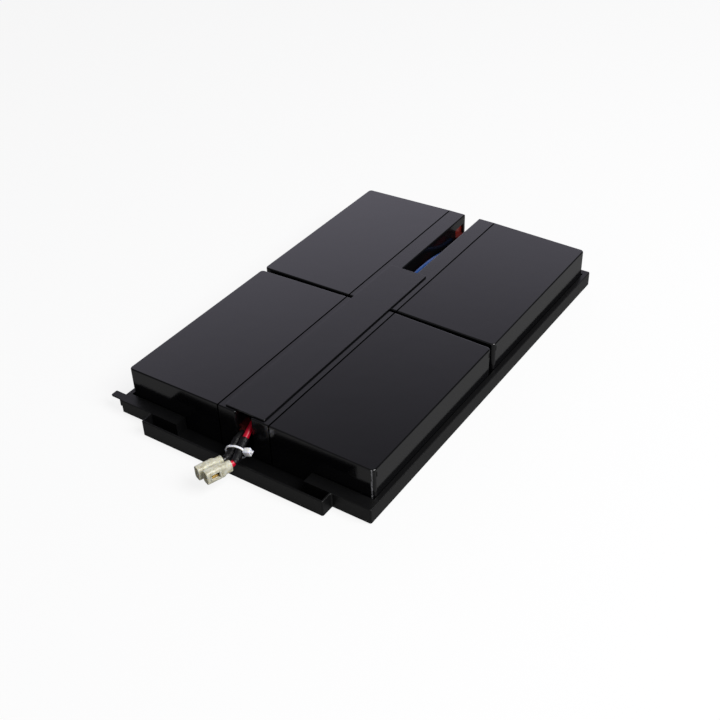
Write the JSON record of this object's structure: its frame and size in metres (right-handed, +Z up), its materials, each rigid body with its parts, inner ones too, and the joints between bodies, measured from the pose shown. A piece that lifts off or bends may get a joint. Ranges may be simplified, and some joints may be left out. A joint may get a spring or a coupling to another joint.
{
  "type": "ups battery cartridge",
  "caption": "Flat battery cartridge for a rack power supply: slim sealed lead-acid batteries laid in a thin tray, joined in series, with two connector leads at the front.",
  "frame": {"origin": "on the underside of the tray, below the middle of the four batteries", "axes": "+Z up from the tray; +Y to the back, away from the wiring outlet; +X to the right, seen from the front"},
  "size_m": [0.2175, 0.3535, 0.0368],
  "materials": {
    "tray_plastic": "black moulded sheet plastic, satin with a fine grain",
    "battery_case": "black ABS, glossy ends and sides, satin face",
    "battery_lid": "black ABS, satin",
    "lead_plates": "dull grey lead plates with glass mat between them",
    "valve_rubber": "soft black rubber",
    "tin_brass": "tin-plated brass, bright",
    "red_sealant": "dark red epoxy sealant",
    "black_sealant": "black epoxy sealant",
    "foam_tape": "double-sided adhesive tape",
    "cover_plastic": "black plastic strip, satin",
    "contact_brass": "stamped brass",
    "insulator": "black vinyl",
    "red_wire": "red insulation, smooth",
    "black_wire": "black insulation, smooth",
    "blue_wire": "blue insulation, smooth",
    "sleeve": "black shrink tubing",
    "tie_nylon": "white nylon",
    "housing_nylon": "natural nylon, slightly translucent"
  },
  "bodies": {
    "root": {"tray": "tray_plastic", "front_left_case": "battery_case", "front_left_lid": "battery_lid", "front_left_plates": "lead_plates", "front_left_valve_caps": "valve_rubber", "front_left_vent_strip": "battery_lid", "front_left_positive_terminal": "tin_brass", "front_left_negative_terminal": "tin_brass", "front_left_positive_seal": "red_sealant", "front_left_negative_seal": "black_sealant", "front_right_case": "battery_case", "front_right_lid": "battery_lid", "front_right_plates": "lead_plates", "front_right_valve_caps": "valve_rubber", "front_right_vent_strip": "battery_lid", "front_right_positive_terminal": "tin_brass", "front_right_negative_terminal": "tin_brass", "front_right_positive_seal": "red_sealant", "front_right_negative_seal": "black_sealant", "rear_left_case": "battery_case", "rear_left_lid": "battery_lid", "rear_left_plates": "lead_plates", "rear_left_valve_caps": "valve_rubber", "rear_left_vent_strip": "battery_lid", "rear_left_positive_terminal": "tin_brass", "rear_left_negative_terminal": "tin_brass", "rear_left_positive_seal": "red_sealant", "rear_left_negative_seal": "black_sealant", "rear_right_case": "battery_case", "rear_right_lid": "battery_lid", "rear_right_plates": "lead_plates", "rear_right_valve_caps": "valve_rubber", "rear_right_vent_strip": "battery_lid", "rear_right_positive_terminal": "tin_brass", "rear_right_negative_terminal": "tin_brass", "rear_right_positive_seal": "red_sealant", "rear_right_negative_seal": "black_sealant", "battery_tapes": "foam_tape", "cover_strip": "cover_plastic", "cover_tape": "foam_tape", "left_link": "contact_brass", "left_link_boot": "insulator", "right_link": "contact_brass", "right_link_boot": "insulator", "red_lead": "red_wire", "red_receptacle": "contact_brass", "red_hood": "insulator", "black_lead": "black_wire", "black_receptacle": "contact_brass", "black_hood": "insulator", "blue_lead": "blue_wire", "blue_receptacles": "contact_brass", "blue_hoods": "insulator", "shrink_sleeve": "sleeve", "cable_tie": "tie_nylon", "red_housing": "housing_nylon", "red_contact": "contact_brass", "black_housing": "housing_nylon", "black_contact": "contact_brass"}
  },
  "joints": []
}
